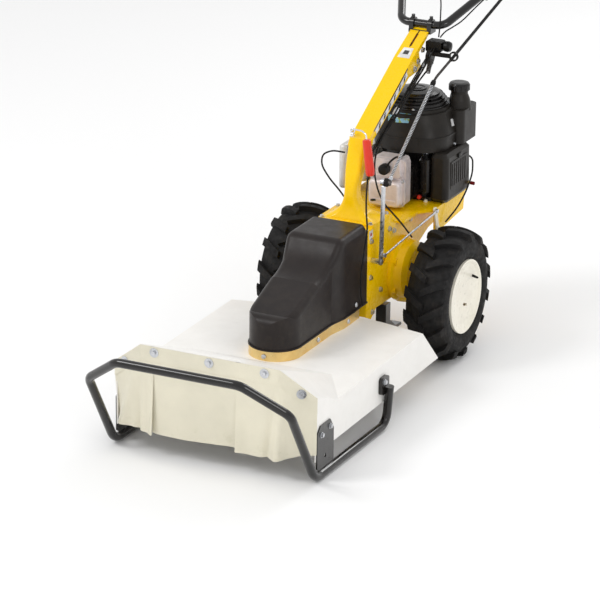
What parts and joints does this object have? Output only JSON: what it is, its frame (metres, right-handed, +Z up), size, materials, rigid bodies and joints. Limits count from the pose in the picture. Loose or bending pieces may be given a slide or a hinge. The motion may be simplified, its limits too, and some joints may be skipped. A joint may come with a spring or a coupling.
{
  "type": "brush mower",
  "caption": "Two-wheeled petrol brush mower: belt-driven front cutting deck with canvas curtain and tube guard, steering column, handlebar and push-rod gear shift.",
  "frame": {"origin": "on the ground under the middle of the machine's outline", "axes": "+X to the left of an operator who walks behind the handlebar, +Y to the rear, where the operator walks, +Z up"},
  "size_m": [0.6978, 2.2155, 1.0903],
  "materials": {
    "tyre": "matt moulded rubber tread",
    "rim_cream": "satin cream enamel",
    "bright_steel": "zinc-plated steel",
    "deck_white": "satin off-white powder coat",
    "flap_canvas": "rubberised canvas",
    "frame_black": "gloss black powder coat",
    "cover_plastic": "fine-grained dark moulding",
    "yellow_paint": "gloss yellow powder coat",
    "golden_zinc": "yellow passivated zinc plate",
    "cast_iron": "as-cast, oiled",
    "dark_steel": "oiled steel",
    "aluminium_cast": "die-cast aluminium",
    "engine_black": "satin moulded shroud",
    "engine_gloss": "semi-gloss moulding",
    "silencer_grey": "heat-resistant pale grey",
    "red_plastic": "glossy red moulding",
    "black_rubber": "soft black rubber",
    "belt_rubber": "cord-reinforced V-belt",
    "chrome": "bright chrome",
    "black_plastic": "black moulding",
    "cream_paint": "cream enamel"
  },
  "bodies": {
    "machine": {"deck_shell": "deck_white", "front_flap": "flap_canvas", "flap_bolts": "bright_steel", "front_guard": "frame_black", "guard_brackets": "frame_black", "guard_bolts": "bright_steel", "spindle_housing": "cast_iron", "bearings": "bright_steel", "drive_housing": "cast_iron", "drive_belt": "belt_rubber", "belt_cover": "cover_plastic", "cover_base": "golden_zinc", "cover_screws": "bright_steel", "chassis_frame": "yellow_paint", "final_drive_left": "yellow_paint", "final_drive_right": "yellow_paint", "gearbox_case": "yellow_paint", "rear_skid": "frame_black", "chassis_bolts": "bright_steel", "steering_column": "yellow_paint", "column_bolts": "bright_steel", "wire_eye": "chrome", "engine_block": "engine_gloss", "cylinder_head": "aluminium_cast", "rocker_cover": "aluminium_cast", "spark_cap": "black_rubber", "blower_housing": "engine_black", "recoil_cover": "engine_gloss", "starter_grip": "black_plastic", "fuel_tank": "engine_black", "air_filter": "engine_black", "carburettor": "engine_gloss", "silencer": "silencer_grey", "bar_clamps": "frame_black", "lock_block": "black_plastic", "control_cables": "black_rubber"},
    "axle_set": {"tyre_left": "tyre", "tyre_right": "tyre", "rim_left": "rim_cream", "rim_right": "rim_cream", "axle_shaft": "dark_steel", "hub_collars": "dark_steel"},
    "spindle_set": {"blade_spindle": "dark_steel", "cutter_blade": "dark_steel", "spindle_pulley": "cast_iron"},
    "drive_set": {"drive_pulley": "cast_iron", "drive_shaft": "dark_steel"},
    "bail_lever": {"bail_wire": "chrome", "red_grip": "red_plastic"},
    "gear_bar": {"gear_bar": "bright_steel"},
    "gear_rod": {"gear_rod": "dark_steel", "gear_knob": "black_plastic"},
    "selector_rod": {"selector_rod": "bright_steel"},
    "selector_crank": {"selector_crank": "cream_paint"},
    "handlebar_set": {"handlebar": "frame_black", "handle_grips": "black_rubber", "lever_brackets": "black_plastic"},
    "drive_lever": {"drive_lever": "bright_steel"},
    "blade_lever": {"blade_lever": "bright_steel"},
    "fuel_cap": {"fuel_cap": "engine_gloss"}
  },
  "joints": [
    {"name": "axle_spin", "type": "hinge", "parent": "machine", "child": "axle_set", "pos_m": [0, 0.188, 0.205], "axis": [1, 0, 0], "continuous": true},
    {"name": "blade_spin", "type": "hinge", "parent": "machine", "child": "spindle_set", "pos_m": [0, -0.484, 0.096], "axis": [0, 0, 1], "continuous": true},
    {"name": "drive_spin", "type": "hinge", "parent": "machine", "child": "drive_set", "pos_m": [0, -0.172, 0.282], "axis": [0, 0, 1], "continuous": true},
    {"name": "bail_swing", "type": "hinge", "parent": "machine", "child": "bail_lever", "pos_m": [-0.021, 0.064, 0.715], "axis": [0, 1, 0], "range_deg": [-60, 0]},
    {"name": "gear_bar_swing", "type": "hinge", "parent": "machine", "child": "gear_bar", "pos_m": [0.12, -0.025, 0.352], "axis": [1, 0, 0], "range_deg": [-4, 4]},
    {"name": "gear_rod_pivot", "type": "hinge", "parent": "gear_bar", "child": "gear_rod", "pos_m": [0.12, -0.014, 0.599], "axis": [1, 0, 0], "range_deg": [-5.2, 5.2]},
    {"name": "selector_rod_pivot", "type": "hinge", "parent": "gear_bar", "child": "selector_rod", "pos_m": [0.128, -0.017, 0.372], "axis": [1, 0, 0], "range_deg": [-4.4, 4.4]},
    {"name": "selector_turn", "type": "hinge", "parent": "machine", "child": "selector_crank", "pos_m": [0.155, 0.314, 0.362], "axis": [1, 0, 0], "range_deg": [-1.2, 1.2]},
    {"name": "handlebar_tilt", "type": "hinge", "parent": "machine", "child": "handlebar_set", "pos_m": [0, 0.512, 0.938], "axis": [1, 0, 0], "range_deg": [-8, 8]},
    {"name": "drive_lever_squeeze", "type": "hinge", "parent": "handlebar_set", "child": "drive_lever", "pos_m": [0.2433, 0.94779, 1.03864], "axis": [1, 0, 0], "range_deg": [0, 8.5], "stiffness_Nm_per_rad": 0.8},
    {"name": "blade_lever_squeeze", "type": "hinge", "parent": "handlebar_set", "child": "blade_lever", "pos_m": [-0.2433, 0.94779, 1.03864], "axis": [1, 0, 0], "range_deg": [0, 8.5], "stiffness_Nm_per_rad": 0.8},
    {"name": "fuel_cap_turn", "type": "hinge", "parent": "machine", "child": "fuel_cap", "pos_m": [0.129, 0.512, 0.746], "axis": [0, 0, 1], "continuous": true}
  ],
  "couplings": [
    {"joint": "drive_spin", "follows": "blade_spin", "ratio": 1.24},
    {"joint": "gear_rod_pivot", "follows": "gear_bar_swing", "ratio": -1.245},
    {"joint": "selector_rod_pivot", "follows": "gear_bar_swing", "ratio": -1.05},
    {"joint": "selector_turn", "follows": "gear_bar_swing", "ratio": 0.28}
  ]
}
